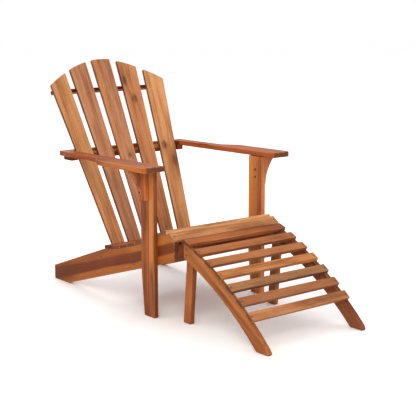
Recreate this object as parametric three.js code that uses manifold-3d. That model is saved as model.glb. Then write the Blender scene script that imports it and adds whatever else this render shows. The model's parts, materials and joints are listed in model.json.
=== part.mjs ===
// A reclining slatted garden armchair (adirondack style) in oiled hardwood, with its own
// free-standing slatted footrest butted against the front.
//
// Units are millimetres. +Z is up and the floor is Z = 0. The chair faces -Y, X = 0 is the
// plane of symmetry, and the footrest stands in front of the chair. "Left" and "right" are
// the sitter's: left is +X. Outlines of boards that stand on edge are drawn in (Y, Z).

import * as THREE from "three";
import { mergeVertices } from "three/addons/utils/BufferGeometryUtils.js";
import Module from "manifold-3d";

const wasm = await Module();
wasm.setup();

// ---------------------------------------------------------------- driving dimensions

const LENGTH = 1325; // chair's heel to footrest's toe
const WIDTH = 695; // across the two arms
const ARM_HEIGHT = 570; // floor to the top of an arm, at its front end
const SEAT_WIDTH = 499; // over the two side rails
const FOOTREST_WIDTH = 460; // over the footrest's two curved rails
const GAP = 0.3; // hairline between boards that touch

const REAR = LENGTH / 2;
const FRONT = -LENGTH / 2;

// Side rails: long sloping boards that are the chair's rear feet and carry the seat.
const SIDE = {
  thickness: 20,
  front: -180,
  frontBottom: 229.5,
  heelLength: 107.5,
  heelHeight: 57,
  seatRear: new THREE.Vector2(284, 193),
};

// Seat: eight slats on a dished line, and one tilted nose slat that rounds the front edge.
const SEAT = {
  line: new THREE.SplineCurve([
    new THREE.Vector2(275, 195.4),
    new THREE.Vector2(171, 214.6),
    new THREE.Vector2(67, 245),
    new THREE.Vector2(-37, 282.5),
    new THREE.Vector2(-95, 308.5),
    new THREE.Vector2(-136, 323),
  ]),
  slats: 8,
  slatGap: 3.5,
  thickness: 14,
  ridge: new THREE.Vector2(-143, 318.4),
  noseAngle: THREE.MathUtils.degToRad(33),
  noseWidth: 39.5,
};

// Front cross rail between the side rails, set below the nose slat.
const APRON = { thickness: 20, bottom: 236, top: 285, setback: 2 };

// Front legs: outside the side rails, narrowing below "taperTop" towards the floor.
const LEG = { thickness: 19, front: -80.3, rearAtFloor: -18.5, rear: -2.2, taperTop: 170 };

// Arms: paddle shaped, wide over the front legs and narrow beside the back.
const ARM = {
  thickness: 19,
  front: -140,
  length: 654,
  drop: 0.015,
  innerFront: 259,
  innerRear: 257.5,
  neckOuter: 305,
  outerRear: 300.5,
  paddleEnd: 293.3,
  neckStart: 383.3,
  frontRound: 25,
  innerRound: 6,
  rearRound: 8,
};

// Arm brackets: upright boards on the outside of each front leg, under the arm.
const BRACKET = {
  thickness: 19,
  middle: -41.5,
  bottom: 434,
  foot: 27.7,
  swell: 2.6,
  tip: 75.5,
  tipHeight: 4,
};

// Backrest: five tapered slats that fan out over three cross rails. Lengths along the
// slats are counted from the height BACK.datum, on the slats' front faces.
const BACK = {
  recline: THREE.MathUtils.degToRad(26.65),
  datum: 300,
  frontAtDatum: 343.5,
  thickness: 14,
  slatBottom: 120,
  crown: 2.5,
};

// Each back slat, from the chair's right to its left: X of its right and left edges at the
// datum, how far each edge drifts in X per mm along the slat, and the height above the floor
// of its right and left top corners. The slats are fitted by hand, so no two are quite alike.
const BACK_SLATS = [
  { edges: [-208.8, -147.6], drifts: [-0.1146, -0.0781], top: [815.9, 858.0], tone: "honey" },
  { edges: [-125.8, -63.6], drifts: [-0.0672, -0.0335], top: [871.4, 897.5], tone: "rose" },
  { edges: [-39.0, 27.8], drifts: [-0.0223, 0.0089], top: [904.2, 905.6], tone: "rose" },
  { edges: [49.0, 113.0], drifts: [0.0281, 0.0675], top: [896.8, 870.6], tone: "amber" },
  { edges: [141.2, 208.8], drifts: [0.0792, 0.1216], top: [857.2, 817.0], tone: "honey" },
];

const UPPER_RAIL = { halfLength: 267, bottom: 786.5, top: 799.9, thickness: 22 };
const LOWER_RAIL = { bottom: -185, top: -125, thickness: 20 };
const ARM_RAIL = {
  halfLength: 276.5,
  shoulder: 256.5,
  notch: 248,
  bottom: 522.5,
  top: 560,
  front: 460,
  rear: 518,
};

// Footrest: two curved rails whose edges share one centre, with slats on the outer edge.
const FOOTREST = {
  centre: new THREE.Vector2(200.4, -852.5),
  outerRadius: 1221.8,
  depth: 51.2,
  thickness: 17,
  rear: -209,
  toeStart: 26,
  toeLength: 19,
  toeHeight: 4,
  slats: 7,
  firstSlat: THREE.MathUtils.degToRad(20.2),
  slatPitch: THREE.MathUtils.degToRad(3.06),
  slatWidth: 35,
  slatThickness: 14,
};

// Footrest's rear legs: inside the curved rails, leaning forwards by "lean" per mm of height.
const FOOTREST_LEG = {
  thickness: 19,
  rearAtFloor: -183.5,
  frontAtFloor: -222.5,
  lean: 0.0895,
  topRear: -209.6,
  topFront: -248,
  topClearance: 2,
};

// Fasteners: button-head bolts on outside faces and sunk wood screws on inside faces.
const BOLT = { headRadius: 4.5, headHeight: 1.8, shankRadius: 3, recess: 0 };
const SCREW = { headRadius: 4.2, headHeight: 2.2, shankRadius: 2.4, recess: 5 };
const ROUND_SEGMENTS = 16;
const CURVE_SEGMENTS = 8;

// ---------------------------------------------------------------- finishes

const TONES = {
  honey: 0xbf8250,
  amber: 0xb0703c,
  rose: 0xa86f4c,
  russet: 0x96552e,
  chestnut: 0x7f4526,
};

function woodMaterial(tone) {
  return new THREE.MeshStandardMaterial({ color: TONES[tone], roughness: 0.62, metalness: 0 });
}

function steelMaterial() {
  return new THREE.MeshStandardMaterial({ color: 0x8d8a80, roughness: 0.38, metalness: 1 });
}

// ---------------------------------------------------------------- frames and helpers

const X_AXIS = new THREE.Vector3(1, 0, 0);
const Y_AXIS = new THREE.Vector3(0, 1, 0);
const Z_AXIS = new THREE.Vector3(0, 0, 1);

// Turns a board drawn in its own x, y with its thickness along z into the named position.
function turned(xTo, yTo, zTo) {
  return new THREE.Quaternion().setFromRotationMatrix(new THREE.Matrix4().makeBasis(xTo, yTo, zTo));
}

const SIDE_ON = turned(Y_AXIS, Z_AXIS, X_AXIS);
const FACE_ON = turned(X_AXIS, Z_AXIS, Y_AXIS.clone().negate());

function extruded(shape, thickness) {
  return new THREE.ExtrudeGeometry(shape, {
    depth: thickness,
    bevelEnabled: false,
    curveSegments: CURVE_SEGMENTS,
  });
}

function part(name, geometry, material) {
  const mesh = new THREE.Mesh(geometry, material);
  mesh.name = name;
  return mesh;
}

function polygon(points) {
  return new THREE.Shape(points.map(([a, b]) => new THREE.Vector2(a, b)));
}

// A board on edge: its outline is in (Y, Z) and it fills X from innerX outwards on one side.
function sideBoard(name, shape, innerX, thickness, side, tone) {
  const mesh = part(name, extruded(shape, thickness), woodMaterial(tone));
  mesh.quaternion.copy(SIDE_ON);
  mesh.position.x = side > 0 ? innerX : -innerX - thickness;
  return mesh;
}

// A slat across the chair whose underside lies on the line from "rear" to "front" in (Y, Z).
function crossSlat(name, rear, front, width, length, thickness, tone) {
  const middle = rear.clone().add(front).multiplyScalar(0.5);
  const angle = Math.atan2(rear.y - front.y, rear.x - front.x);
  const lift = thickness / 2;
  const mesh = part(name, new THREE.BoxGeometry(length, width, thickness), woodMaterial(tone));
  mesh.rotation.x = angle;
  mesh.position.set(0, middle.x - lift * Math.sin(angle), middle.y + lift * Math.cos(angle));
  return mesh;
}

// ---------------------------------------------------------------- joins and cuts

function toSolid(geometry, matrix) {
  const loose = geometry.index ? geometry.toNonIndexed() : geometry.clone();
  loose.deleteAttribute("normal");
  loose.deleteAttribute("uv");
  loose.applyMatrix4(matrix);
  const merged = mergeVertices(loose, 1e-4);
  const corners = merged.index.array;
  const triVerts = [];
  for (let i = 0; i < corners.length; i += 3) {
    const [a, b, c] = corners.slice(i, i + 3);
    if (a !== b && b !== c && c !== a) triVerts.push(a, b, c);
  }
  return new wasm.Manifold(
    new wasm.Mesh({
      numProp: 3,
      vertProperties: merged.attributes.position.array,
      triVerts: new Uint32Array(triVerts),
    }),
  );
}

function toGeometry(solid) {
  const mesh = solid.getMesh();
  const geometry = new THREE.BufferGeometry();
  geometry.setAttribute("position", new THREE.Float32BufferAttribute(mesh.vertProperties, 3));
  geometry.setIndex(new THREE.BufferAttribute(mesh.triVerts, 1));
  geometry.computeVertexNormals();
  return geometry;
}

// Takes the cutters, given in the same parent frame as the board, out of the board.
function cut(board, cutters) {
  board.updateMatrix();
  const toBoard = board.matrix.clone().invert();
  let solid = toSolid(board.geometry, new THREE.Matrix4());
  for (const cutter of cutters) {
    cutter.updateMatrix();
    solid = solid.subtract(toSolid(cutter.geometry, toBoard.clone().multiply(cutter.matrix)));
  }
  board.geometry = toGeometry(solid);
}

// ---------------------------------------------------------------- fasteners

// A solid of revolution about z, from [radius, z] pairs that start and end on the axis.
function revolved(profile) {
  const points = profile.map(([radius, z]) => new THREE.Vector2(radius, z));
  return new THREE.LatheGeometry(points, ROUND_SEGMENTS).rotateX(Math.PI / 2).scale(1, -1, 1);
}

// The head stands at z < 0 and the shank runs along +z.
function fastenerGeometry(kind, length) {
  return revolved([
    [0, length],
    [kind.shankRadius, length],
    [kind.shankRadius, 0],
    [kind.headRadius, 0],
    [kind.headRadius, -kind.headHeight],
    [0, -kind.headHeight],
  ]);
}

// The hole that takes it: a clearance all round, and a counterbore of the recess depth.
function holeGeometry(kind, length) {
  const mouth = kind.headHeight + kind.recess + 1;
  const bore = kind.shankRadius + GAP;
  const counterbore = kind.recess > 0 ? kind.headRadius + GAP : bore;
  return revolved([
    [0, length + GAP],
    [bore, length + GAP],
    [bore, GAP],
    [counterbore, GAP],
    [counterbore, -mouth],
    [0, -mouth],
  ]);
}

// A fastener whose head bears at "seat" and whose shank runs along "direction".
function fasten(name, kind, seat, direction, length, boards) {
  const turn = new THREE.Quaternion().setFromUnitVectors(Z_AXIS, direction);
  const mesh = part(name, fastenerGeometry(kind, length), steelMaterial());
  const hole = new THREE.Mesh(holeGeometry(kind, length));
  for (const item of [mesh, hole]) {
    item.quaternion.copy(turn);
    item.position.copy(seat);
  }
  boards.forEach((board) => cut(board, [hole]));
  return mesh;
}

// ---------------------------------------------------------------- chair frame

const SIDES = [
  { side: -1, name: "right" },
  { side: 1, name: "left" },
];
const RAIL_OUTER = SEAT_WIDTH / 2;
const RAIL_INNER = RAIL_OUTER - SIDE.thickness;
const LEG_INNER = RAIL_OUTER + GAP;
const LEG_OUTER = LEG_INNER + LEG.thickness;
const ARM_TILT = Math.atan(ARM.drop);
const ARM_BASE = ARM_HEIGHT - ARM.thickness;

// Height of the arm's underside at a place along the chair.
function armUnderside(y) {
  return ARM_BASE - (y - ARM.front) * ARM.drop;
}

const noseFront = SEAT.ridge
  .clone()
  .add(new THREE.Vector2(-Math.cos(SEAT.noseAngle), -Math.sin(SEAT.noseAngle)).multiplyScalar(SEAT.noseWidth));

function sideRailShape() {
  const shape = new THREE.Shape();
  shape.moveTo(REAR, 0);
  shape.lineTo(REAR, SIDE.heelHeight);
  shape.lineTo(SIDE.seatRear.x, SIDE.seatRear.y);
  SEAT.line.getSpacedPoints(SEAT.slats).forEach((point) => shape.lineTo(point.x, point.y - GAP));
  shape.lineTo(SEAT.ridge.x, SEAT.ridge.y - GAP);
  shape.lineTo(noseFront.x, noseFront.y - GAP);
  shape.lineTo(SIDE.front, noseFront.y - (noseFront.x - SIDE.front));
  shape.lineTo(SIDE.front, SIDE.frontBottom);
  shape.lineTo(REAR - SIDE.heelLength, 0);
  return shape;
}

function frontLegShape() {
  return polygon([
    [LEG.front, 0],
    [LEG.rearAtFloor, 0],
    [LEG.rear, LEG.taperTop],
    [LEG.rear, armUnderside(LEG.rear) - GAP],
    [LEG.front, armUnderside(LEG.front) - GAP],
  ]);
}

// Plan of an arm, front end at y = 0, with the wide part necking down in one sweep.
function armShape(side) {
  const half = WIDTH / 2;
  const inner = ARM.innerFront;
  const sweep = (ARM.neckStart - ARM.paddleEnd) * 0.45;
  const shape = new THREE.Shape();
  shape.moveTo(side * (inner + ARM.innerRound), 0);
  shape.lineTo(side * (half - ARM.frontRound), 0);
  shape.quadraticCurveTo(side * half, 0, side * half, ARM.frontRound);
  shape.lineTo(side * half, ARM.paddleEnd);
  shape.bezierCurveTo(
    side * half,
    ARM.paddleEnd + sweep,
    side * ARM.neckOuter,
    ARM.neckStart - sweep,
    side * ARM.neckOuter,
    ARM.neckStart,
  );
  shape.lineTo(side * ARM.outerRear, ARM.length - ARM.rearRound);
  shape.quadraticCurveTo(
    side * ARM.outerRear,
    ARM.length,
    side * (ARM.outerRear - ARM.rearRound),
    ARM.length,
  );
  shape.lineTo(side * ARM.innerRear, ARM.length);
  shape.lineTo(side * inner, ARM.innerRound);
  shape.quadraticCurveTo(side * inner, 0, side * (inner + ARM.innerRound), 0);
  return shape;
}

function makeArm(side, name, tone) {
  const mesh = part(name, extruded(armShape(side), ARM.thickness), woodMaterial(tone));
  mesh.rotation.x = -ARM_TILT;
  mesh.position.set(0, ARM.front, ARM_BASE);
  return mesh;
}

function makeBracket(side, name, tone) {
  const top = armUnderside(BRACKET.middle + BRACKET.thickness / 2) - GAP;
  const root = LEG_OUTER + GAP;
  const shape = new THREE.Shape();
  shape.moveTo(side * root, BRACKET.bottom);
  shape.lineTo(side * (root + BRACKET.foot), BRACKET.bottom);
  shape.quadraticCurveTo(
    side * (root + BRACKET.foot + BRACKET.swell),
    (BRACKET.bottom + top) / 2 + BRACKET.tipHeight,
    side * (root + BRACKET.tip),
    top - BRACKET.tipHeight,
  );
  shape.lineTo(side * (root + BRACKET.tip), top);
  shape.lineTo(side * root, top);
  const mesh = part(name, extruded(shape, BRACKET.thickness), woodMaterial(tone));
  mesh.quaternion.copy(FACE_ON);
  mesh.position.y = BRACKET.middle + BRACKET.thickness / 2;
  return mesh;
}

function makeSeat(into) {
  const points = SEAT.line.getSpacedPoints(SEAT.slats);
  const tones = ["russet", "amber", "rose", "amber", "honey", "russet", "amber", "honey"];
  for (let i = 0; i < SEAT.slats; i++) {
    const [rear, front] = [points[i], points[i + 1]];
    const width = rear.distanceTo(front) - SEAT.slatGap;
    const name = `seat_slat_${i + 1}`;
    into.add(crossSlat(name, rear, front, width, SEAT_WIDTH, SEAT.thickness, tones[i]));
  }
  into.add(
    crossSlat("seat_nose_slat", SEAT.ridge, noseFront, SEAT.noseWidth, SEAT_WIDTH, SEAT.thickness, "honey"),
  );
}

function makeApron() {
  const length = 2 * (RAIL_INNER - GAP);
  const depth = APRON.thickness;
  const height = APRON.top - APRON.bottom;
  const mesh = part("front_apron", new THREE.BoxGeometry(length, depth, height), woodMaterial("chestnut"));
  mesh.position.set(0, SIDE.front + APRON.setback + depth / 2, APRON.bottom + height / 2);
  return mesh;
}

// ---------------------------------------------------------------- backrest

// Lays local x across the chair, y up along the slats and z out of their front faces.
const backrest = new THREE.Group();
backrest.position.set(0, BACK.frontAtDatum, BACK.datum);
backrest.rotation.x = Math.PI / 2 - BACK.recline;

// Distance along the slats at which their front faces reach a height above the floor.
function alongBack(height) {
  return (height - BACK.datum) / Math.cos(BACK.recline);
}

// Y of the slats' rear faces at a height above the floor.
function backRearFace(height) {
  const thickness = (BACK.thickness + GAP) / Math.cos(BACK.recline);
  return BACK.frontAtDatum + thickness + (height - BACK.datum) * Math.tan(BACK.recline);
}

function makeBackSlat(spec, name) {
  const [right, left] = [0, 1].map((k) => (along) => spec.edges[k] + spec.drifts[k] * along);
  const bottom = alongBack(BACK.slatBottom);
  const [rightTop, leftTop] = spec.top.map(alongBack);
  const shape = new THREE.Shape();
  shape.moveTo(right(bottom), bottom);
  shape.lineTo(left(bottom), bottom);
  shape.lineTo(left(leftTop), leftTop);
  shape.quadraticCurveTo(
    (right(rightTop) + left(leftTop)) / 2,
    (rightTop + leftTop) / 2 + 2 * BACK.crown,
    right(rightTop),
    rightTop,
  );
  const mesh = part(name, extruded(shape, BACK.thickness), woodMaterial(spec.tone));
  mesh.position.z = -BACK.thickness;
  return mesh;
}

// A cross rail flat against the rear faces of the back slats.
function makeBackRail(name, halfLength, bottom, top, thickness, tone) {
  const box = new THREE.BoxGeometry(2 * halfLength, top - bottom, thickness);
  const mesh = part(name, box, woodMaterial(tone));
  mesh.position.set(0, (bottom + top) / 2, -BACK.thickness - GAP - thickness / 2);
  return mesh;
}

function makeBackrest() {
  BACK_SLATS.forEach((spec, i) => backrest.add(makeBackSlat(spec, `back_slat_${i + 1}`)));
  const upper = UPPER_RAIL;
  backrest.add(
    makeBackRail(
      "upper_back_rail",
      upper.halfLength,
      alongBack(upper.bottom),
      alongBack(upper.top),
      upper.thickness,
      "russet",
    ),
  );
  const lower = LOWER_RAIL;
  backrest.add(
    makeBackRail(
      "lower_back_rail",
      RAIL_INNER - GAP,
      lower.bottom,
      lower.top,
      lower.thickness,
      "russet",
    ),
  );
}

// The middle cross rail: a wide notch in its front is bevelled to the slats' rear faces, and
// its ends are rebated so that the arms lap over them.
function makeArmRail() {
  const rail = ARM_RAIL;
  const over = 5;
  const [low, high] = [rail.bottom - over, rail.top + over];
  const length = 2 * rail.halfLength;
  const box = new THREE.BoxGeometry(length, rail.rear - rail.front, rail.top - rail.bottom);
  const mesh = part("arm_rail", box, woodMaterial("amber"));
  mesh.position.set(0, (rail.front + rail.rear) / 2, (rail.bottom + rail.top) / 2);

  const bevel = polygon([
    [rail.front - over, low],
    [backRearFace(low), low],
    [backRearFace(high), high],
    [rail.front - over, high],
  ]);
  const notch = new THREE.Mesh(extruded(bevel, 2 * rail.notch));
  notch.quaternion.copy(SIDE_ON);
  notch.position.x = -rail.notch;

  const lapTop = armUnderside(rail.rear) - GAP;
  const rebateSize = 100;
  const rebate = new THREE.BoxGeometry(rebateSize, 2 * rebateSize, rebateSize);
  const rebates = SIDES.map(({ side }) => {
    const cutter = new THREE.Mesh(rebate);
    cutter.position.set(side * (rail.shoulder + rebateSize / 2), rail.rear, lapTop + rebateSize / 2);
    return cutter;
  });
  cut(mesh, [notch, ...rebates]);
  return mesh;
}

// ---------------------------------------------------------------- footrest

// Height of the curved rail's outer edge at a place along the chair.
function footrestEdge(y) {
  const across = FOOTREST.centre.x - y;
  return FOOTREST.centre.y + Math.sqrt(FOOTREST.outerRadius ** 2 - across ** 2);
}

function footrestRailShape() {
  const { centre, outerRadius, depth, rear, toeStart, toeLength, toeHeight } = FOOTREST;
  const innerRadius = outerRadius - depth;
  const rearOuter = Math.acos((rear - centre.x) / outerRadius);
  const rearInner = Math.acos((rear - centre.x) / innerRadius);
  const toeOuter = Math.PI - Math.asin((toeStart - centre.y) / outerRadius);
  const toeInner = Math.PI - Math.asin(-centre.y / innerRadius);
  const toe = new THREE.Vector2(Math.cos(toeOuter), Math.sin(toeOuter)).multiplyScalar(outerRadius).add(centre);
  const tangent = new THREE.Vector2(-Math.sin(toeOuter), Math.cos(toeOuter));
  const shape = new THREE.Shape();
  shape.absarc(centre.x, centre.y, outerRadius, rearOuter, toeOuter, false);
  shape.quadraticCurveTo(FRONT, toe.y + toeLength * tangent.y, FRONT, toeHeight);
  shape.lineTo(FRONT + toeHeight, 0);
  shape.absarc(centre.x, centre.y, innerRadius, toeInner, rearInner, true);
  return shape;
}

function footrestLegShape() {
  const { rearAtFloor, frontAtFloor, lean, topRear, topFront, topClearance } = FOOTREST_LEG;
  const rearTop = footrestEdge(topRear) - topClearance;
  const frontTop = footrestEdge(topFront) - topClearance;
  return polygon([
    [rearAtFloor, 0],
    [rearAtFloor - lean * rearTop, rearTop],
    [frontAtFloor - lean * frontTop, frontTop],
    [frontAtFloor, 0],
  ]);
}

function makeFootrestSlats(into) {
  const tones = ["russet", "amber", "honey", "amber", "honey", "amber", "rose"];
  const radius = FOOTREST.outerRadius + GAP + FOOTREST.slatThickness / 2;
  for (let i = 0; i < FOOTREST.slats; i++) {
    const angle = FOOTREST.firstSlat + i * FOOTREST.slatPitch;
    const box = new THREE.BoxGeometry(FOOTREST_WIDTH, FOOTREST.slatWidth, FOOTREST.slatThickness);
    const mesh = part(`footrest_slat_${i + 1}`, box, woodMaterial(tones[i]));
    mesh.rotation.x = angle;
    mesh.position.set(
      0,
      FOOTREST.centre.x - radius * Math.sin(angle),
      FOOTREST.centre.y + radius * Math.cos(angle),
    );
    into.add(mesh);
  }
}

// ---------------------------------------------------------------- assembly

const chair = new THREE.Group();
const footrest = new THREE.Group();

makeBackrest();
backrest.updateMatrix();
const armRail = makeArmRail();
chair.add(backrest, armRail, makeApron());
makeSeat(chair);
makeFootrestSlats(footrest);

const LOWER_BOLT_ALONG = -145;
const LEG_SCREWS = [
  { name: "upper", y: -58, z: 256 },
  { name: "lower", y: -32, z: 212 },
];
const BRACKET_SCREWS = [
  { name: "upper", z: 497 },
  { name: "lower", z: 468 },
];
const FOOTREST_BOLTS = [
  { name: "upper", z: 280 },
  { name: "lower", z: 258 },
];
const FOOTREST_BOLT_Y = -226;
const ARM_SCREW = { x: 268, y: 496, length: 30 };

// The lower back rail is cut in its own tilted group, so its bolts are placed there too.
const lowerRail = backrest.getObjectByName("lower_back_rail");
const lowerBolt = new THREE.Vector3(0, LOWER_BOLT_ALONG, lowerRail.position.z).applyMatrix4(backrest.matrix);

for (const { side, name } of SIDES) {
  const outward = new THREE.Vector3(side, 0, 0);
  const inward = outward.clone().negate();
  const rail = sideBoard(`side_rail_${name}`, sideRailShape(), RAIL_INNER, SIDE.thickness, side, "russet");
  const leg = sideBoard(`front_leg_${name}`, frontLegShape(), LEG_INNER, LEG.thickness, side, "russet");
  const arm = makeArm(side, `arm_${name}`, side < 0 ? "chestnut" : "amber");
  const bracket = makeBracket(side, `arm_bracket_${name}`, "amber");
  chair.add(rail, leg, arm, bracket);

  for (const { name: place, y, z } of LEG_SCREWS) {
    const seat = new THREE.Vector3(side * (RAIL_INNER + SCREW.recess), y, z);
    chair.add(fasten(`leg_screw_${name}_${place}`, SCREW, seat, outward, 28, [rail, leg]));
  }
  for (const { name: place, z } of BRACKET_SCREWS) {
    const seat = new THREE.Vector3(side * (LEG_INNER + SCREW.recess), BRACKET.middle, z);
    chair.add(fasten(`bracket_screw_${name}_${place}`, SCREW, seat, outward, 34, [leg, bracket]));
  }

  const boltSeat = new THREE.Vector3(side * (RAIL_OUTER + GAP), lowerBolt.y, lowerBolt.z);
  chair.add(fasten(`lower_rail_bolt_${name}`, BOLT, boltSeat, inward, 60, [rail]));
  const localHole = new THREE.Mesh(holeGeometry(BOLT, 60));
  localHole.quaternion.setFromUnitVectors(Z_AXIS, inward);
  localHole.position.set(boltSeat.x, LOWER_BOLT_ALONG, lowerRail.position.z);
  cut(lowerRail, [localHole]);

  const armSeat = new THREE.Vector3(side * ARM_SCREW.x, ARM_SCREW.y, ARM_RAIL.bottom + SCREW.recess - 2);
  chair.add(fasten(`arm_screw_${name}`, SCREW, armSeat, Z_AXIS, ARM_SCREW.length, [armRail, arm]));

  const halfFootrest = FOOTREST_WIDTH / 2;
  const curvedInner = halfFootrest - FOOTREST.thickness;
  const curved = sideBoard(
    `footrest_rail_${name}`,
    footrestRailShape(),
    curvedInner,
    FOOTREST.thickness,
    side,
    "amber",
  );
  const footLeg = sideBoard(
    `footrest_leg_${name}`,
    footrestLegShape(),
    curvedInner - GAP - FOOTREST_LEG.thickness,
    FOOTREST_LEG.thickness,
    side,
    "russet",
  );
  footrest.add(curved, footLeg);
  for (const { name: place, z } of FOOTREST_BOLTS) {
    const seat = new THREE.Vector3(side * (halfFootrest + GAP), FOOTREST_BOLT_Y, z);
    footrest.add(fasten(`footrest_bolt_${name}_${place}`, BOLT, seat, inward, 32, [curved, footLeg]));
  }
}

const gardenChair = new THREE.Group();
gardenChair.add(chair, footrest);

export default gardenChair;
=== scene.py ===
"""A wooden adirondack chair with its curved footrest: the finished boards, the fasteners,
the wood and the studio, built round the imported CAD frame."""

import json
import math

import bmesh
import bpy
from mathutils import Matrix, Vector
from mathutils.bvhtree import BVHTree


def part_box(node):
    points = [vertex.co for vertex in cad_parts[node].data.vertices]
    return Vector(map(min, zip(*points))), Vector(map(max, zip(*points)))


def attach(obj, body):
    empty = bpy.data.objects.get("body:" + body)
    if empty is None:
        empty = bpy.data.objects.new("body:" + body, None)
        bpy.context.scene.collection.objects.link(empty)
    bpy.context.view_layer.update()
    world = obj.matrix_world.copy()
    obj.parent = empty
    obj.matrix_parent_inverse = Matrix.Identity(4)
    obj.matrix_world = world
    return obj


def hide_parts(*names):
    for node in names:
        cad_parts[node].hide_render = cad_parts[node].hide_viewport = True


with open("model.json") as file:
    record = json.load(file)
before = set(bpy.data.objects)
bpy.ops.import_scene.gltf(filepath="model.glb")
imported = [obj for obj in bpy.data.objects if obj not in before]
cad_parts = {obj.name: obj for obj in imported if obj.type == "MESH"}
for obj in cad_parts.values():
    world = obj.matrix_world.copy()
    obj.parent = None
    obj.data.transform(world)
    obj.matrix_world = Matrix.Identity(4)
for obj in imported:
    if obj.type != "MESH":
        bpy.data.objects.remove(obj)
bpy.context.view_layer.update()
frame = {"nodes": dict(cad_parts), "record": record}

# ---------------------------------------------------------------- measures, in metres

# Edges of the boards: how far they are rounded, and from which turn an edge counts as one.
EDGE_RADIUS = 0.0016
SLAT_EDGE_RADIUS = 0.0018
EDGE_SEGMENTS = 3
SHARP = math.radians(28.0)
FLAT = math.radians(1.0)
SAME_POINT = 2e-5

# Points closer than this to a fastener's axis belong to the hole it sits in.
HOLE_REACH = 0.0056
HOLE_MARGIN = 0.01

# Sides of every turned piece.
ROUND = 32

# The small screws of the slats and rear rails, and the funnels that their heads sit in.
SCREW_RADIUS = 0.0034
SCREW_HEAD_HEIGHT = 0.0020
SCREW_SHANK = 0.0018
SCREW_LENGTH = 0.010
SINK_RADIUS = 0.0042
SINK_DEPTH = 0.0010
SINK_PLAY = 0.0001
HEAD_PROUD = 0.0003

# The wood screws that have a CAD node, and the straight counterbores over their heads.
WOOD_SCREW_RADIUS = 0.0042
WOOD_SCREW_HEAD_HEIGHT = 0.0022
WOOD_SCREW_SHANK = 0.0024
COUNTERBORE_RADIUS = 0.0045
WIDE_COUNTERBORE_RADIUS = 0.0060
COUNTERBORE_OVER_HEAD = 0.0029
COUNTERBORE_DEPTH = 0.0051
JUST_INSIDE = 0.001

# The holes in the brackets' curved edges.
BRACKET_HOLE_RADIUS = 0.0045
BRACKET_HOLE_DEPTH = 0.0140

CAMERA = {
    "place": (-2.4330, -3.1139, 1.1273),
    "azimuth": math.radians(-38.54),
    "elevation": math.radians(10.88),
    "roll": math.radians(-0.11),
    "lens": 91.34,
    "sensor": 36.0,
}


def srgb(code):
    """A linear colour from six hexadecimal digits."""
    linear = []
    for start in (0, 2, 4):
        c = int(code[start : start + 2], 16) / 255
        linear.append(c / 12.92 if c <= 0.04045 else ((c + 0.055) / 1.055) ** 2.4)
    return (*linear, 1.0)


# ---------------------------------------------------------------- shader graph


# Where a Mix node keeps its factor, its two colours and its resulting colour.
MIX_FACTOR, MIX_A, MIX_B, MIX_RESULT = 0, 6, 7, 2
OBJECT_PLACE = 3


class Graph:
    """Adds nodes to one material and links whatever is a socket."""

    def __init__(self, material):
        material.use_nodes = True
        self.tree = material.node_tree
        self.tree.nodes.clear()

    def add(self, kind, inputs=(), output=0, **settings):
        node = self.tree.nodes.new(kind)
        for key, value in settings.items():
            setattr(node, key, value)
        for key, value in dict(inputs).items():
            if isinstance(value, bpy.types.NodeSocket):
                self.tree.links.new(value, node.inputs[key])
            else:
                node.inputs[key].default_value = value
        return node.outputs[output]

    def math(self, operation, a, b=0.0, c=0.0, clamp=False):
        inputs = {0: a, 1: b, 2: c}
        return self.add("ShaderNodeMath", inputs, operation=operation, use_clamp=clamp)

    def vector(self, operation, a, b):
        return self.add("ShaderNodeVectorMath", {0: a, 1: b}, operation=operation)

    def noise(self, place, stretch, detail, roughness):
        """Noise over a place that is stretched along its three axes."""
        stretched = self.vector("MULTIPLY", place, stretch)
        inputs = {"Vector": stretched, "Scale": 1.0, "Detail": detail, "Roughness": roughness}
        return self.add("ShaderNodeTexNoise", inputs)

    def step(self, value, low, high):
        """0 below low, 1 above high, smooth between."""
        inputs = {"Value": value, "From Min": low, "From Max": high}
        return self.add("ShaderNodeMapRange", inputs, interpolation_type="SMOOTHSTEP")

    def mix(self, factor, a, b, blend="MIX"):
        """Colour a where the factor is 0 and b where it is 1."""
        inputs = {MIX_FACTOR: factor, MIX_A: a, MIX_B: b}
        settings = {"data_type": "RGBA", "blend_type": blend}
        return self.add("ShaderNodeMix", inputs, output=MIX_RESULT, **settings)

    def parts(self, vector):
        """The three sockets of a vector's parts."""
        node = self.tree.nodes.new("ShaderNodeSeparateXYZ")
        self.tree.links.new(vector, node.inputs[0])
        return node.outputs

    def attribute(self, name, output):
        node = self.tree.nodes.new("ShaderNodeAttribute")
        node.attribute_name = name
        return node.outputs[output]

    def finish(self, shader_inputs, **bump):
        """The surface, with these inputs of its shader and of its bump."""
        if bump:
            shader_inputs["Normal"] = self.add("ShaderNodeBump", bump)
        shader = self.add("ShaderNodeBsdfPrincipled", shader_inputs)
        out = self.tree.nodes.new("ShaderNodeOutputMaterial")
        self.tree.links.new(shader, out.inputs["Surface"])


# ---------------------------------------------------------------- wood

PORE = srgb("4a2413")
KNOT = srgb("4a2a20")
KNOT_RING = srgb("80492f")
END_TINT = srgb("351f16")
END_SPECK = srgb("6b4734")
# Painted shade: the narrow sides of a board are multiplied by this colour, for the light they
# miss.
PAINTED_SIDE_SHADE = (0.36, 0.26, 0.22, 1.0)
WORN = srgb("dca374")

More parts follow.
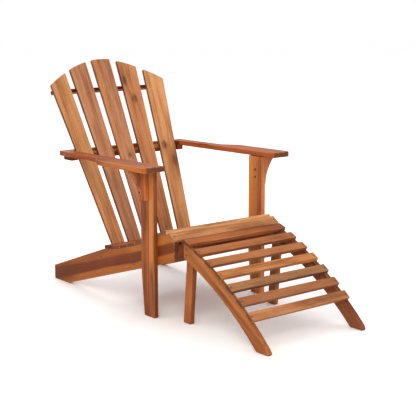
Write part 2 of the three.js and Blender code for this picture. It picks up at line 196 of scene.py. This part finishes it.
# Noises of the wood: the stretch along three axes, the detail and the roughness. The first
# three run over shells about the pith, along the board and outwards, and the others over the
# board itself: along, across and through it.
RINGS = ((0.9, 330, 1), 3.0, 0.62)
BANDS = ((1.3, 74, 1), 2.0, 0.55)
ZONES = ((1.6, 26, 1), 1.0, 0.5)
STREAKS = ((5.5, 260, 260), 3.0, 0.6)
FIBRES = ((26, 1500, 1500), 2.0, 0.6)
BLOTCHES = ((7, 30, 30), 3.0, 0.55)
PORES = ((85, 1700, 1700), 1.0, 0.5)
WANDER = ((2.1, 11, 11), 2.0, 0.5)
KNOT_OUTLINE = ((70, 110, 110), 3.0, 0.5)
SPECKLE = ((300, 420, 420), 3.0, 0.6)
RUBBING = ((9, 60, 60), 3.0, 0.5)

# How far the grain wanders sideways, and how the seed moves a board through the noises.
WANDER_REACH = 0.026
SEED_SHIFT = (1.37, 0.71, 0.93)
SEED_SHIFT_ALONG = 3.1

# The pith: how far "flame" moves it sideways, and how deep it lies below the board.
PITH_SPREAD = 0.12
PITH_NEAREST = 0.035
PITH_RANGE = 0.05

# Knots, in knot sizes: how far the grain flows round them, along and across, and how long
# they are. Then how strongly the grain is pushed aside, and how dark it and the knot turn.
FLOW_ALONG = 4.0
FLOW_ACROSS = 2.0
KNOT_LENGTH = 1.45
KNOT_FLOW = 0.85
KNOT_RAGGED = 0.9
KNOT_EDGE = (1.75, 0.85)
KNOT_STRENGTH = 0.86
FLOW_SHADE = -0.17

# Stripes: where their soft edge starts and ends, in widths, and how softly they run out.
STRIPE_EDGE = (0.62, 0.38)
STRIPE_WAVE = 0.12
STRIPE_FADE = 0.10
STRIPE_GRAIN = 0.5

# How the tone runs from the darkest latewood to the palest earlywood: place on the ramp, and
# what red, green and blue are multiplied by there.
RAMP = (
    (0.08, 0.34, 0.26, 0.22),
    (0.34, 0.70, 0.63, 0.58),
    (0.52, 1.00, 1.00, 1.00),
    (0.72, 1.20, 1.26, 1.22),
    (0.94, 1.34, 1.50, 1.45),
)


def knot_fields(g, moved, x, y, across, knots):
    """(place across the grain, bent round the knots; mask of the knots; mask of the bent
    grain). Both masks are None on a board without knots."""
    knot_mask = None
    swirl = None
    for knot_x, knot_y, size in knots:
        dx = g.math("SUBTRACT", x, knot_x)
        dy = g.math("SUBTRACT", y, knot_y)
        far_x = g.math("POWER", g.math("DIVIDE", dx, size * FLOW_ALONG), 2.0)
        far_y = g.math("POWER", g.math("DIVIDE", dy, size * FLOW_ACROSS), 2.0)
        near = g.math("EXPONENT", g.math("MULTIPLY", g.math("ADD", far_x, far_y), -1.0))
        push = g.math("MULTIPLY", g.math("MULTIPLY", dy, near), KNOT_FLOW)
        across = g.math("ADD", across, push)
        reach_x = g.math("POWER", g.math("DIVIDE", dx, size * KNOT_LENGTH), 2.0)
        reach_y = g.math("POWER", g.math("DIVIDE", dy, size), 2.0)
        reach = g.math("SQRT", g.math("ADD", reach_x, reach_y))
        ragged = g.math("MULTIPLY_ADD", g.noise(moved, *KNOT_OUTLINE), KNOT_RAGGED, reach)
        inside = g.step(ragged, *KNOT_EDGE)
        knot_mask = inside if knot_mask is None else g.math("MAXIMUM", knot_mask, inside)
        swirl = near if swirl is None else g.math("MAXIMUM", swirl, near)
    return across, knot_mask, swirl


def pith_shells(g, x, z, across, seed, flame):
    """Growth rings are shells about a pith that runs below the board and beside it."""
    pith_depth = PITH_NEAREST + PITH_RANGE * abs(math.sin(seed * 2.3))
    from_pith_y = g.math("ADD", across, (flame - 0.5) * PITH_SPREAD)
    from_pith_z = g.math("ADD", z, pith_depth)
    square = g.math("MULTIPLY", from_pith_z, from_pith_z)
    radius = g.math("SQRT", g.math("MULTIPLY_ADD", from_pith_y, from_pith_y, square))
    along = g.math("ADD", x, seed * SEED_SHIFT_ALONG)
    return g.add("ShaderNodeCombineXYZ", {0: along, 1: radius, 2: seed})


def toned(g, total, tone):
    """The tone, darker or paler along RAMP."""
    ramp = g.add("ShaderNodeValToRGB", {0: total})
    colours = ramp.node.color_ramp
    while len(colours.elements) < len(RAMP):
        colours.elements.new(0.5)
    for element, (position, *scale) in zip(colours.elements, RAMP):
        element.position = position
        element.color = [t * k for t, k in zip(tone, scale)] + [1.0]
    return ramp


def striped(g, colour, sap, x, across, blotches, bands):
    """The colour with its lengthwise stripes laid over it."""
    for sap_y, width, sap_tone, strength, low, high in sap:
        off = g.math("ABSOLUTE", g.math("SUBTRACT", across, sap_y))
        soft = g.step(off, *(width * part for part in STRIPE_EDGE))
        stripe = g.math("MULTIPLY", soft, strength)
        wavy = g.math("MULTIPLY_ADD", blotches, STRIPE_WAVE, x)
        stripe = g.math("MULTIPLY", stripe, g.step(wavy, low, low + STRIPE_FADE))
        stripe = g.math("MULTIPLY", stripe, g.step(wavy, high + STRIPE_FADE, high))
        grain = g.math("MULTIPLY", g.math("SUBTRACT", 1.0, bands), STRIPE_GRAIN)
        colour = g.mix(stripe, colour, g.mix(grain, sap_tone, colour))
    return colour


def wood(name, tone, seed, contrast, flame, knots, sap, painted_side_shade, dark_ends):
    """Oiled hardwood, worked out in the board's own axes: x along the grain, y over its
    width and z through it. "knots" are (x, y, size) in metres. "sap" holds stripes of
    another tone, (y, width, tone, strength, lowest x, highest x). "flame" sets how far the
    pith lies to one side of the board, "painted_side_shade" how strongly its narrow sides are
    darkened with painted shade, for the light they miss, and "dark_ends" how dark its sawn
    ends are."""
    material = bpy.data.materials.new(name)
    g = Graph(material)
    place = g.attribute("grain", "Vector")
    moved = g.vector("ADD", place, tuple(seed * shift for shift in SEED_SHIFT))
    x, y, z = g.parts(place)
    wander = g.math("SUBTRACT", g.noise(moved, *WANDER), 0.5)
    across = g.math("MULTIPLY_ADD", wander, WANDER_REACH, y)
    across, knot_mask, swirl = knot_fields(g, moved, x, y, across, knots)

    shells = pith_shells(g, x, z, across, seed, flame)
    rings, bands, zones = (g.noise(shells, *n) for n in (RINGS, BANDS, ZONES))
    streaks, fibres, blotches = (g.noise(moved, *n) for n in (STREAKS, FIBRES, BLOTCHES))
    pores = g.step(g.noise(moved, *PORES), 0.60, 0.70)

    weights = (
        (rings, 0.85),
        (bands, 0.95),
        (zones, 0.55),
        (streaks, 0.75),
        (fibres, 0.40),
        (blotches, 0.85),
    )
    total = 0.5
    for field, weight in weights:
        centred = g.math("SUBTRACT", field, 0.5)
        total = g.math("MULTIPLY_ADD", centred, weight * contrast, total)
    if swirl:
        total = g.math("MULTIPLY_ADD", swirl, FLOW_SHADE, total)
    colour = striped(g, toned(g, total, tone), sap, x, across, blotches, bands)
    colour = g.mix(g.math("MULTIPLY", pores, 0.42), colour, PORE)
    if knot_mask:
        core = g.mix(g.step(rings, 0.35, 0.62), KNOT, KNOT_RING)
        colour = g.mix(g.math("MULTIPLY", knot_mask, KNOT_STRENGTH), colour, core)

    # Painted shade darkens the narrow sides, for the light they miss. Sawn ends drink more
    # oil and turn darker, and rubbed edges turn paler.
    if painted_side_shade:
        side = g.step(g.attribute("side", "Fac"), 0.60, 0.90)
        painted_shade_colour = g.mix(1.0, colour, PAINTED_SIDE_SHADE, "MULTIPLY")
        colour = g.mix(g.math("MULTIPLY", side, painted_side_shade), colour, painted_shade_colour)
    end = g.math("MULTIPLY", g.step(g.attribute("end", "Fac"), 0.80, 0.97), dark_ends)
    speckle = g.step(g.noise(moved, *SPECKLE), 0.35, 0.65)
    end_colour = g.mix(0.75, colour, END_TINT)
    end_colour = g.mix(g.math("MULTIPLY", speckle, 0.45), end_colour, END_SPECK)
    colour = g.mix(end, colour, end_colour)
    rub = g.step(g.noise(moved, *RUBBING), 0.42, 0.66)
    edge = g.math("MULTIPLY", g.math("MULTIPLY", g.attribute("edge", "Fac"), rub), 0.30)
    colour = g.mix(edge, colour, WORN)

    dull = g.math("MULTIPLY_ADD", streaks, 0.22, 0.40)
    dull = g.math("MULTIPLY_ADD", end, 0.18, dull)
    dull = g.math("MULTIPLY_ADD", pores, 0.14, dull, clamp=True)
    height = g.math("MULTIPLY_ADD", rings, 0.45, g.math("MULTIPLY", fibres, 0.40))
    height = g.math("MULTIPLY_ADD", pores, -0.55, height)
    g.finish(
        {"Base Color": colour, "Roughness": dull, "IOR": 1.46, "Specular IOR Level": 0.12},
        Height=height,
        Strength=0.42,
        Distance=0.0007,
    )
    return material


# ---------------------------------------------------------------- steel


MOTTLE = ((420, 420, 420), 4.0, 0.6)
STAIN = ((95, 95, 95), 3.0, 0.5)
STAIN_TONE = srgb("5a4534")


def steel(name, dark, pale, metallic):
    """Dull plated steel with faint mottling and brown staining."""
    material = bpy.data.materials.new(name)
    g = Graph(material)
    place = g.add("ShaderNodeTexCoord", output=OBJECT_PLACE)
    mottle = g.noise(place, *MOTTLE)
    stain = g.step(g.noise(place, *STAIN), 0.52, 0.72)
    colour = g.mix(mottle, srgb(dark), srgb(pale))
    colour = g.mix(g.math("MULTIPLY", stain, 0.5), colour, STAIN_TONE)
    dull = g.math("MULTIPLY_ADD", mottle, 0.25, 0.28)
    g.finish(
        {"Base Color": colour, "Metallic": metallic, "Roughness": dull},
        Height=mottle,
        Strength=0.15,
        Distance=0.0002,
    )
    return material


# ---------------------------------------------------------------- board meshes


def fastener_axis(name):
    """(head end, unit vector from the head into the wood, length) of a fastener's node."""
    low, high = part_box(name)
    centre = (low + high) / 2
    size = high - low
    k = max(range(3), key=lambda i: size[i])
    direction = Vector((0, 0, 0))
    if "bolt" in name:
        direction[k] = -math.copysign(1, centre[k])
    elif k == 0:
        direction[k] = math.copysign(1, centre[k])
    else:
        direction[k] = 1.0
    return centre - direction * size[k] / 2, direction, size[k]


def clean_board(mesh, axes):
    """The CAD solid's mesh with its triangles merged into faces and its fastener holes closed."""
    bm = bmesh.new()
    bm.from_mesh(mesh)
    bmesh.ops.remove_doubles(bm, verts=bm.verts, dist=SAME_POINT)

    def in_hole(point):
        for head, direction, length in axes:
            out = point - head
            along = out.dot(direction)
            beside = (out - direction * along).length
            if -HOLE_MARGIN < along < length + HOLE_MARGIN and beside < HOLE_REACH:
                return True
        return False

    walls = [f for f in bm.faces if all(in_hole(v.co) for v in f.verts)]
    bmesh.ops.delete(bm, geom=walls, context="FACES")
    bmesh.ops.holes_fill(bm, edges=[e for e in bm.edges if e.is_boundary], sides=0)
    loose = [v for v in bm.verts if not v.link_faces]
    bmesh.ops.delete(bm, geom=loose, context="VERTS")
    bmesh.ops.recalc_face_normals(bm, faces=bm.faces)
    bmesh.ops.dissolve_limit(bm, angle_limit=FLAT, verts=bm.verts, edges=bm.edges)
    return bm


def round_edges(bm, radius):
    """Rounds every edge of a board that turns more than SHARP."""
    sharp = [e for e in bm.edges if len(e.link_faces) == 2 and e.calc_face_angle() > SHARP]
    bmesh.ops.bevel(
        bm,
        geom=sharp,
        offset=radius,
        offset_type="OFFSET",
        segments=EDGE_SEGMENTS,
        profile=0.5,
        affect="EDGES",
        clamp_overlap=False,
    )


def revolved(name, profile, shape=None):
    """A closed solid of revolution from (radius, height) pairs that start and end at radius 0.
    "shape" gives each ring's own outline: a function of the angle and the ring's index."""
    bm = bmesh.new()
    rings = []
    for k, (radius, height) in enumerate(profile):
        if radius == 0:
            rings.append([bm.verts.new((0, 0, height))])
            continue
        ring = []
        for i in range(ROUND):
            angle = 2 * math.pi * i / ROUND
            reach = radius * (shape(angle, k) if shape else 1.0)
            ring.append(bm.verts.new((reach * math.cos(angle), reach * math.sin(angle), height)))
        rings.append(ring)
    for low, high in zip(rings, rings[1:]):
        for i in range(ROUND):
            j = (i + 1) % ROUND
            around = ((low, i), (low, j), (high, j), (high, i))
            corners = [ring[k % len(ring)] for ring, k in around]
            bm.faces.new(list(dict.fromkeys(corners)))
    bmesh.ops.recalc_face_normals(bm, faces=bm.faces)
    mesh = bpy.data.meshes.new(name)
    bm.to_mesh(mesh)
    bm.free()
    return mesh


def placed(direction, point):
    """The matrix that turns a revolved mesh's +z along "direction", its z = 0 at "point"."""
    turn = Vector((0, 0, 1)).rotation_difference(direction)
    return Matrix.Translation(point) @ turn.to_matrix().to_4x4()


def joined(name, copies):
    """One mesh from (mesh, matrix) pairs."""
    bm = bmesh.new()
    for mesh, matrix in copies:
        start = len(bm.verts)
        bm.from_mesh(mesh)
        bm.verts.ensure_lookup_table()
        bmesh.ops.transform(bm, matrix=matrix, verts=bm.verts[start:])
    mesh = bpy.data.meshes.new(name)
    bm.to_mesh(mesh)
    bm.free()
    return mesh


def carve(mesh, cutter):
    """The mesh with the cutter mesh taken out of it."""
    board = bpy.data.objects.new("carved", mesh)
    tool = bpy.data.objects.new("cutter", cutter)
    for obj in (board, tool):
        bpy.context.scene.collection.objects.link(obj)
    boolean = board.modifiers.new("cut", "BOOLEAN")
    boolean.operation = "DIFFERENCE"
    boolean.solver = "EXACT"
    boolean.object = tool
    depsgraph = bpy.context.evaluated_depsgraph_get()
    made = bpy.data.meshes.new_from_object(board.evaluated_get(depsgraph))
    for obj in (board, tool):
        bpy.data.objects.remove(obj)
    return made


# How far an edge may lean out of a board's widest face and still lie in it, how much of a
# normal has to lie in that face before it can mark a sawn end, and how far the normals of
# rounded edges point out of it.
IN_PLANE = 0.05
END_LEAST = 0.3
EDGE_LEAST, EDGE_MOST = 0.2, 0.97
MARKS = ("end", "side", "edge")


def board_axes(mesh, grain=None):
    """Unit vectors along the grain, over the width and out of the widest face, as columns."""
    widest = max(mesh.polygons, key=lambda p: p.area)
    normal = widest.normal.copy()
    if grain is None:
        in_plane = []
        for edge in mesh.edges:
            a, b = (mesh.vertices[i].co for i in edge.vertices)
            run = b - a
            if abs(run.normalized().dot(normal)) < IN_PLANE:
                in_plane.append(run)
        grain = max(in_plane, key=lambda run: run.length)
    grain = Vector(grain)
    grain = (grain - normal * grain.dot(normal)).normalized()
    k = max(range(3), key=lambda i: abs(grain[i]))
    grain *= math.copysign(1, grain[k])
    k = max(range(3), key=lambda i: abs(normal[i]))
    normal *= math.copysign(1, normal[k])
    return Matrix((grain, normal.cross(grain), normal)).transposed()


def write_grain(mesh, axes, centre):
    """Stores each point's place in the board's axes, and marks sawn ends, narrow sides and
    rounded edges."""
    to_board = axes.transposed()
    grain = mesh.attributes.new("grain", "FLOAT_VECTOR", "POINT")
    for vertex, item in zip(mesh.vertices, grain.data):
        item.vector = to_board @ (vertex.co - centre)
    for mark in MARKS:
        mesh.attributes.new(mark, "FLOAT", "FACE")
    end, side, edge = (mesh.attributes[mark].data for mark in MARKS)
    for polygon, end_item, side_item, edge_item in zip(mesh.polygons, end, side, edge):
        along, across, out = (abs(c) for c in to_board @ polygon.normal)
        end_item.value = along / max(math.hypot(along, across), END_LEAST)
        side_item.value = across
        edge_item.value = 1.0 if EDGE_LEAST < out < EDGE_MOST else 0.0


# ---------------------------------------------------------------- screws and bolts

HEX_SIDES = 6
CROSS_WIDTH = 0.00055
CROSS_REACH = 0.0021


def hexagon(angle):
    """Reach of a hexagonal outline whose corners lie at 1."""
    turn = math.pi / HEX_SIDES
    return math.cos(turn) / math.cos((angle % (2 * turn)) - turn)


def cross(angle):
    """Reach of a cross-shaped outline in metres."""
    c, s = abs(math.cos(angle)) + 1e-9, abs(math.sin(angle)) + 1e-9
    return max(min(CROSS_REACH / c, CROSS_WIDTH / s), min(CROSS_WIDTH / c, CROSS_REACH / s))


def bolt_mesh(name, length):
    """A button-head bolt with a hexagonal socket, its head's top at z = 0."""
    head, shank, height = 0.0045, 0.0030, 0.0018
    socket, depth = 0.0023, 0.0012
    dome = [(head * math.cos(a), height * (1 - math.sin(a))) for a in (0.15, 0.5, 0.85, 1.1)]
    profile = [(0, length), (shank, length), (shank, height), (head, height)]
    profile += dome + [(socket, 0.0), (socket * 0.93, depth), (0, depth)]
    rim = len(profile) - 3
    return revolved(name, profile, lambda angle, k: hexagon(angle) if k >= rim else 1.0)


def screw_mesh(name, head, head_height, shank, length):
    """A flat-head wood screw with a cross recess, its head's top at z = 0."""
    depth = head_height * 0.6
    profile = [
        (0, length),
        (shank * 0.3, length),
        (shank, length - 2 * shank),
        (shank, head_height),
        (head, head_height * 0.3),
        (head * 0.97, 0.0),
        (1.0, 0.0),
        (0.72, depth),
        (0, depth),
    ]
    rim = len(profile) - 3
    return revolved(name, profile, lambda angle, k: cross(angle) if k >= rim else 1.0)


def pit_mesh(name, radius, depth, mouth=0.0):
    """What a drill takes out of the wood: a straight hole, or one that widens to "mouth"."""
    top = mouth or radius
    slope = (top - radius) / depth
    over = 0.004
    profile = [(0, depth), (radius, depth), (top + slope * over, -over), (0, -over)]
    return revolved(name, profile)


# ---------------------------------------------------------------- what each board is like

BODY_OF = {
    node: body for body, nodes in frame["record"]["behaviour"]["bodies"].items() for node in nodes
}


def look(tone, contrast=1.0, flame=0.5, knots=(), sap=(), painted_side_shade=0.0, dark_ends=1.0):
    """What wood() needs to know about one board, besides its name and seed."""
    return {
        "tone": srgb(tone)[:3],
        "contrast": contrast,
        "flame": flame,
        "knots": knots,
        "sap": sap,
        "painted_side_shade": painted_side_shade,
        "dark_ends": dark_ends,
    }


def stripe(place, width, tone, strength, low=-9.0, high=9.0):
    """A lengthwise stripe of another tone at "place" across the board, from low to high
    along it; without those it runs over the whole board."""
    return place, width, tone, strength, low, high


SAPWOOD = srgb("c6803f")
PALE_SAPWOOD = srgb("cf9048")
DULL_SAPWOOD = srgb("b8702c")
HEARTWOOD = srgb("5c2a0e")

# In each look, painted_side_shade is how strongly painted shade darkens the board's narrow sides.
LOOKS = {
    "back_slat_1": look("b67d50", 0.6, 0.1, painted_side_shade=1.0),
    "back_slat_2": look("a97351", 0.6, 0.9, painted_side_shade=1.0),
    "back_slat_3": look(
        "ab7452",
        0.7,
        0.5,
        knots=[(0.012, 0.011, 0.008)],
        sap=[stripe(-0.030, 0.010, SAPWOOD, 0.7, low=0.0)],
        painted_side_shade=0.5,
    ),
    "back_slat_4": look(
        "ad7148",
        0.7,
        0.7,
        knots=[(0.345, -0.037, 0.017), (0.262, -0.004, 0.015)],
        painted_side_shade=1.0,
    ),
    "back_slat_5": look(
        "c08757",
        0.7,
        0.3,
        knots=[(0.066, -0.022, 0.015), (-0.003, 0.018, 0.019)],
        painted_side_shade=1.0,
    ),
    "upper_back_rail": look("7c350f", painted_side_shade=1.0),
    "arm_rail": look("722e0c"),
    "lower_back_rail": look("8c4d2b"),
    # The stripe on this near arm is painted light: it makes the front part of the outer edge and
    # side paler, where the light falls on it.
    "arm_right": look("964c1c", 1.1, 0.2, sap=[stripe(0.056, 0.030, SAPWOOD, 0.9, high=-0.06)]),
    "arm_left": look("984c21", 1.0, 0.8),
    "arm_bracket_right": look("b66b3c", painted_side_shade=0.6),
    "arm_bracket_left": look("a86640"),
    "front_leg_right": look(
        "8d4c24",
        0.9,
        0.3,
        sap=[stripe(0.026, 0.026, SAPWOOD, 0.85, low=-0.08)],
        painted_side_shade=0.35,
    ),
    "front_leg_left": look("a96538", 1.0, 0.6, sap=[stripe(-0.034, 0.024, PALE_SAPWOOD, 0.85)]),
    "side_rail_right": look(
        "783612",
        1.0,
        0.4,
        knots=[(-0.163, -0.038, 0.006)],
        sap=[
            stripe(0.032, 0.044, DULL_SAPWOOD, 0.32),
            stripe(0.032, 0.052, DULL_SAPWOOD, 0.50, high=-0.14),
            stripe(-0.050, 0.032, DULL_SAPWOOD, 0.55),
            stripe(-0.012, 0.036, HEARTWOOD, 0.80),
            stripe(-0.012, 0.070, HEARTWOOD, 0.75, low=0.30),
        ],
    ),
    "side_rail_left": look("8a4c2c"),
    "front_apron": look("7f4021"),
    "seat_slat_1": look("92441d"),
    "seat_slat_2": look("b2693d"),
    "seat_slat_3": look("b26c44"),
    "seat_slat_4": look("b56c3a"),
    "seat_slat_5": look("bd7a4a"),
    "seat_slat_6": look("96552e"),
    "seat_slat_7": look("a9683c"),
    "seat_slat_8": look("d89f6d"),
    "seat_nose_slat": look("ad754a", dark_ends=0.2),
    "footrest_rail_right": look("9c5d30", 0.8, 0.2),
    # Its dark tone is partly darker wood and partly painted shade, for the shade on its inner
    # side below the slats.
    "footrest_rail_left": look("743f25", 1.0, 0.7),
    "footrest_leg_right": look("a25e32", painted_side_shade=0.6),
    "footrest_leg_left": look("85502f"),
    "footrest_slat_1": look("9a5529", painted_side_shade=0.5),
    "footrest_slat_2": look("95582f", painted_side_shade=0.5),
    "footrest_slat_3": look("9a5e35", painted_side_shade=0.5),
    "footrest_slat_4": look("b47540", painted_side_shade=0.2),
    "footrest_slat_5": look("8a5c3a", painted_side_shade=0.7),
    "footrest_slat_6": look("885332", painted_side_shade=0.3),
    "footrest_slat_7": look("a96f45", painted_side_shade=0.3),
}

# From one board to the next the wood's seed moves on by this much.
FIRST_SEED = 1.0
SEED_STEP = 1.618

# The curved boards have no long straight edge, so their grain is given.
CURVED_GRAIN = (0, 453, 283)
GRAIN_OF = {"footrest_rail_right": CURVED_GRAIN, "footrest_rail_left": CURVED_GRAIN}

# Screws that hold the slats: how far each stands from the middle of its slat, along it, and
# how far above it the search for the slat's surface starts.
SEAT_SCREW = 0.2395
FOOTREST_SCREW = 0.2215
ABOVE = 0.05

# Holes in the brackets' curved edges: heights, place along the chair, and a place to the
# side that is clear of the chair.
BRACKET_HOLES = (0.497, 0.468)
BRACKET_HOLE_Y = -0.0415
OUTSIDE = 0.40

# Screws from behind into the back slats: height on each rail, and how far apart the fanned
# slats stand there, next to their middles. "BEHIND" is clear of the chair's back.
REAR_RAILS = {
    "upper_back_rail": (0.793, 1.18),
    "arm_rail": (0.541, 1.0),
    "lower_back_rail": (0.1614, 0.8),
}
BEHIND = 1.2


def middle(name):
    """The middle of a node's box."""
    low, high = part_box(name)
    return (low + high) / 2


def slat_screw_rays(name, axes):
    """Where the loose screws enter a board, as (start outside the wood, direction)."""
    centre = middle(name)
    grain, _, normal = (axes.col[i] for i in range(3))
    rays = []
    if name.startswith(("seat_", "footrest_slat")):
        reach = SEAT_SCREW if name.startswith("seat_") else FOOTREST_SCREW
        out = normal * math.copysign(1, normal.z)
        rays = [(centre + grain * s * reach + out * ABOVE, -out) for s in (-1, 1)]
    if name.startswith("arm_bracket"):
        side = math.copysign(1, centre.x)
        for height in BRACKET_HOLES:
            start = Vector((side * OUTSIDE, BRACKET_HOLE_Y, height))
            rays.append((start, Vector((-side, 0, 0))))
    if name in REAR_RAILS:
        height, spread = REAR_RAILS[name]
        for i in range(1, 6):
            x = middle(f"back_slat_{i}").x * spread
            rays.append((Vector((x, BEHIND, height)), Vector((0, -1, 0))))
    return rays


# ---------------------------------------------------------------- the boards

FASTENERS = [name for name in sorted(frame["nodes"]) if "screw" in name or "bolt" in name]
AXIS_OF = {name: fastener_axis(name) for name in FASTENERS}
STEEL = steel("zinc_steel", "3b3934", "77746a", 0.92)
DARK_STEEL = steel("oiled_steel", "231a14", "4a3a2e", 0.60)
WOOD_SMOOTH_BELOW = math.radians(40.0)
STEEL_SMOOTH_BELOW = math.radians(24.0)
loose_screws = {"chair": [], "footrest": []}


def in_box(point, name):
    """Whether a point lies in a node's box."""
    low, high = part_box(name)
    return all(low[i] < point[i] < high[i] for i in range(3))


def drilled(name, mesh, axes, surface):
    """Takes the counterbores and countersinks out of a finished board."""
    pits = []
    for fastener, (head, direction, _) in AXIS_OF.items():
        if "screw" not in fastener:
            continue
        mouth = head - direction * COUNTERBORE_OVER_HEAD
        if in_box(mouth + direction * JUST_INSIDE, name):
            radius = WIDE_COUNTERBORE_RADIUS if "bracket" in fastener else COUNTERBORE_RADIUS
            pits.append((pit_mesh("pit", radius, COUNTERBORE_DEPTH), placed(direction, mouth)))
    for start, direction in slat_screw_rays(name, axes):
        hit = surface.ray_cast(start, direction)[0]
        if hit is None:
            continue
        if name.startswith("arm_bracket"):
            depth = BRACKET_HOLE_DEPTH
            pit = pit_mesh("pit", BRACKET_HOLE_RADIUS, depth)
        else:
            depth = SINK_DEPTH
            pit = pit_mesh("pit", SCREW_RADIUS + SINK_PLAY, depth, SINK_RADIUS)
        pits.append((pit, placed(direction, hit)))
        loose_screws[BODY_OF[name]].append((hit + direction * (depth - HEAD_PROUD), direction))
    if not pits:
        return mesh
    return carve(mesh, joined("pits", pits))


def make_board(name, seed, settings):
    """The finished board that stands for a wooden node."""
    bm = clean_board(frame["nodes"][name].data, AXIS_OF.values())
    plain = bpy.data.meshes.new("plain")
    bm.to_mesh(plain)
    axes = board_axes(plain, GRAIN_OF.get(name))
    round_edges(bm, SLAT_EDGE_RADIUS if "slat" in name else EDGE_RADIUS)
    surface = BVHTree.FromBMesh(bm)
    mesh = bpy.data.meshes.new(name + "_wood")
    bm.to_mesh(mesh)
    bm.free()
    mesh = drilled(name, mesh, axes, surface)
    mesh.name = name + "_wood"
    for polygon in mesh.polygons:
        polygon.use_smooth = True
    mesh.set_sharp_from_angle(angle=WOOD_SMOOTH_BELOW)
    write_grain(mesh, axes, middle(name))
    mesh.materials.clear()
    mesh.materials.append(wood(name + "_grain", seed=seed, **settings))
    board = bpy.data.objects.new("wood_" + name, mesh)
    bpy.context.scene.collection.objects.link(board)
    weighted = board.modifiers.new("weighted", "WEIGHTED_NORMAL")
    weighted.keep_sharp = True
    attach(board, BODY_OF[name])
    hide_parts(name)


def make_fastener(name):
    """The finished screw or bolt that stands for a fastener's node."""
    head, direction, length = AXIS_OF[name]
    if "bolt" in name:
        mesh = bolt_mesh(name + "_steel", length)
    else:
        mesh = screw_mesh(
            name + "_steel", WOOD_SCREW_RADIUS, WOOD_SCREW_HEAD_HEIGHT, WOOD_SCREW_SHANK, length
        )
    mesh.transform(placed(direction, head))
    add_steel("steel_" + name, mesh, STEEL, BODY_OF[name], name)


def add_steel(piece_name, mesh, material, body, node=None):
    """Adds a steel piece; "node" is the CAD node that it replaces, if it has one."""
    for polygon in mesh.polygons:
        polygon.use_smooth = True
    mesh.set_sharp_from_angle(angle=STEEL_SMOOTH_BELOW)
    mesh.materials.append(material)
    piece = bpy.data.objects.new(piece_name, mesh)
    bpy.context.scene.collection.objects.link(piece)
    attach(piece, body)
    if node:
        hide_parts(node)


for number, (board_name, board_look) in enumerate(LOOKS.items()):
    make_board(board_name, FIRST_SEED + number * SEED_STEP, board_look)
for fastener_name in FASTENERS:
    make_fastener(fastener_name)
small_screw = screw_mesh("screw", SCREW_RADIUS, SCREW_HEAD_HEIGHT, SCREW_SHANK, SCREW_LENGTH)
for body_name, places in loose_screws.items():
    copies = [(small_screw, placed(direction, point)) for point, direction in places]
    slat_screws = joined("slat_screws", copies)
    add_steel(f"{body_name}_slat_screws", slat_screws, DARK_STEEL, body_name)


# ---------------------------------------------------------------- studio

# Name, place, size, power and tint of each light, and the point they all face.
LIGHTS = (
    ("key", (-3.4, -3.9, 3.3), 2.6, 150, "fff6ea"),
    ("fill", (3.8, -3.4, 2.6), 3.5, 25, "ffffff"),
    ("rim", (1.5, 4.6, 3.8), 3.0, 90, "ffffff"),
)
LIT = Vector((0, 0, 0.4))

WORLD_STRENGTH = 1.005
FLOOR_RADIUS = 30
FLOOR_DROP = 0.0005


def plain_material(name, colour, roughness):
    material = bpy.data.materials.new(name)
    g = Graph(material)
    g.finish({"Base Color": srgb(colour), "Roughness": roughness})
    return material


def make_floor():
    bm = bmesh.new()
    bmesh.ops.create_circle(bm, cap_ends=True, segments=96, radius=FLOOR_RADIUS)
    mesh = bpy.data.meshes.new("floor")
    bm.to_mesh(mesh)
    bm.free()
    mesh.materials.append(plain_material("pale_floor", "fefefe", 0.9))
    floor = bpy.data.objects.new("floor", mesh)
    floor.location.z = -FLOOR_DROP
    bpy.context.scene.collection.objects.link(floor)


def add_light(name, place, size, power, tint):
    light = bpy.data.lights.new(name, "AREA")
    light.shape = "SQUARE"
    light.size = size
    light.energy = power
    light.color = srgb(tint)[:3]
    lamp = bpy.data.objects.new(name, light)
    lamp.location = place
    aim = LIT - Vector(place)
    lamp.rotation_euler = aim.to_track_quat("-Z", "Y").to_euler()
    bpy.context.scene.collection.objects.link(lamp)


def make_world(colour, strength):
    world = bpy.data.worlds.new("studio")
    bpy.context.scene.world = world
    world.use_nodes = True
    background = world.node_tree.nodes["Background"]
    background.inputs["Color"].default_value = srgb(colour)
    background.inputs["Strength"].default_value = strength


def make_camera():
    """Looks along the azimuth and elevation, rolled a little about its line of sight."""
    a, e, r = CAMERA["azimuth"], CAMERA["elevation"], CAMERA["roll"]
    back = Vector((math.sin(a) * math.cos(e), -math.cos(a) * math.cos(e), math.sin(e)))
    right = Vector((math.cos(a), math.sin(a), 0))
    up = back.cross(right)
    rows = (
        right * math.cos(r) + up * math.sin(r),
        up * math.cos(r) - right * math.sin(r),
        back,
    )
    data = bpy.data.cameras.new("camera")
    data.lens = CAMERA["lens"]
    data.sensor_width = CAMERA["sensor"]
    camera = bpy.data.objects.new("camera", data)
    camera.matrix_world = Matrix.Translation(CAMERA["place"]) @ Matrix(rows).transposed().to_4x4()
    bpy.context.scene.collection.objects.link(camera)
    bpy.context.scene.camera = camera


make_floor()
make_world("ffffff", WORLD_STRENGTH)
for light_settings in LIGHTS:
    add_light(*light_settings)
make_camera()
bpy.context.scene.view_settings.view_transform = "Standard"
